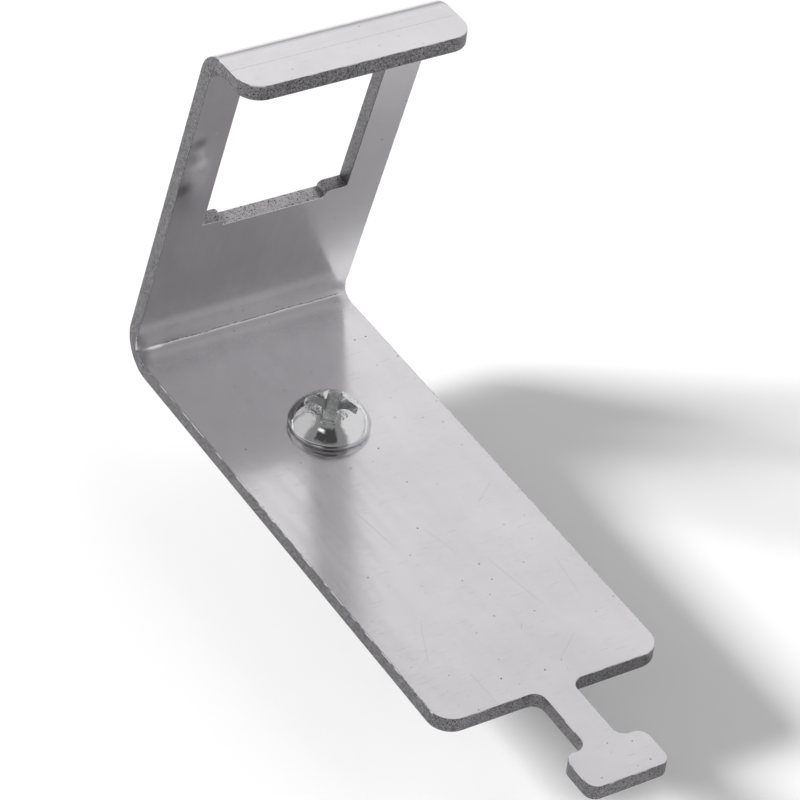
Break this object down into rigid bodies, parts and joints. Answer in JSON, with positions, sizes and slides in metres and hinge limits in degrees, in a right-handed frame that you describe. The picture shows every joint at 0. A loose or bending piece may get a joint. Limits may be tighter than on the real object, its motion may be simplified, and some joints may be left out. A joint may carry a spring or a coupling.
{
  "type": "DIN rail keystone holder",
  "caption": "Folded sheet-metal holder that carries one keystone jack in a leaning upright, with a cable-tie tab, screwed to a spring clip for a top-hat rail.",
  "frame": {"origin": "middle of the rail seat: the underside of the clip's web, half way across the rail", "axes": "+Z away from the rail, Y across the rail with the upright at +Y and the tie tab at -Y, X along the rail"},
  "size_m": [0.023, 0.069, 0.0495],
  "materials": {
    "bracket_sheet": "bright rolled sheet, satin mirror, with rougher and darker cut edges",
    "clip_steel": "bright plated spring steel",
    "screw_plating": "bright plated"
  },
  "bodies": {
    "root": {"bracket": "bracket_sheet", "rail_clip": "clip_steel", "clamp_screw": "screw_plating"}
  },
  "joints": []
}
